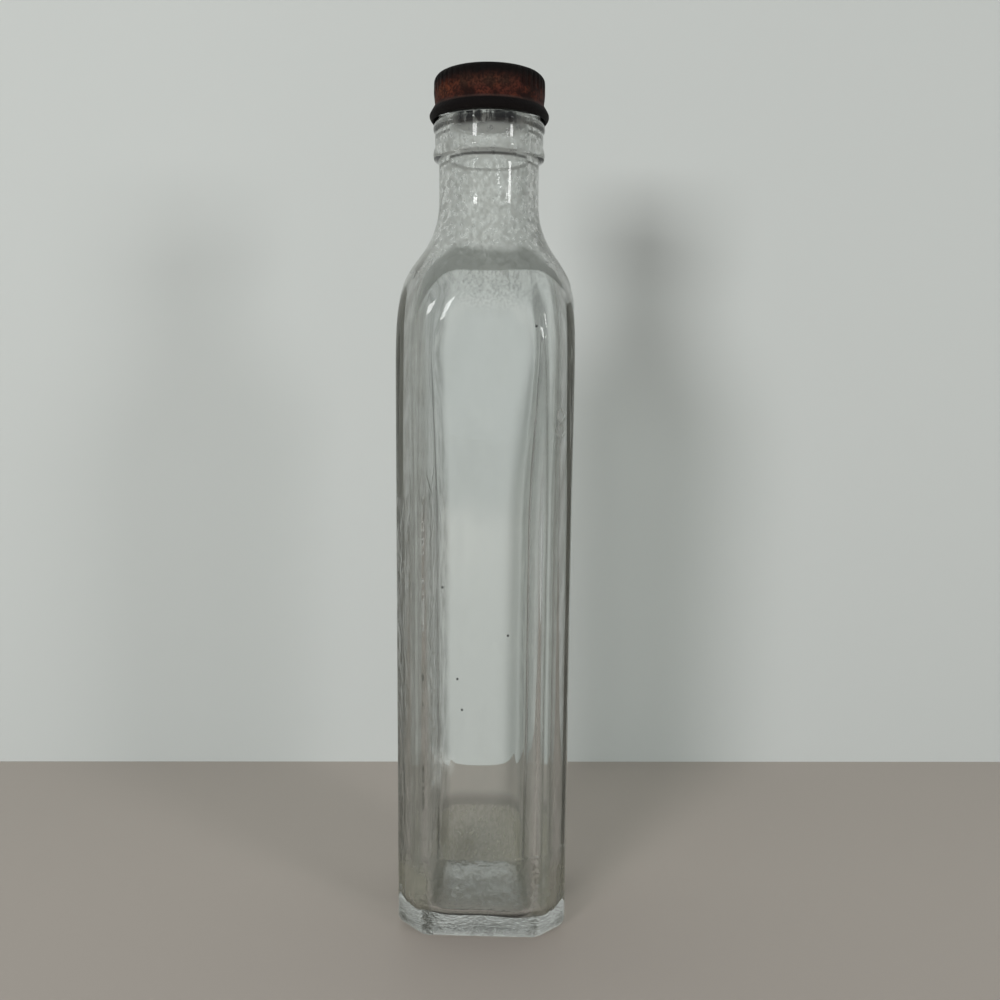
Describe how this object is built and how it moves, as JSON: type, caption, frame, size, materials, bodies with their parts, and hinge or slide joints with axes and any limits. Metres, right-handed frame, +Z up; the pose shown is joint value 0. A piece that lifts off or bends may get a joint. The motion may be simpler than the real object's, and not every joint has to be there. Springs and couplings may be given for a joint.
{
  "type": "embossed glass bottle",
  "caption": "Tall square clear-glass bottle with bevelled corners, sloping shoulders, a ringed collar and a rusted metal screw cap.",
  "frame": {"origin": "middle of the face that the bottle stands on", "axes": "+Z up the bottle's axis, -Y towards the front face, +X to the right seen from the front"},
  "size_m": [0.0457, 0.0452, 0.223],
  "materials": {
    "clear_glass": "old clear moulded glass, faintly green, dusty inside",
    "rusted_metal": "rusted tinplate, matte red-brown with black edges"
  },
  "bodies": {
    "root": {"bottle": "clear_glass", "cap": "rusted_metal"}
  },
  "joints": []
}
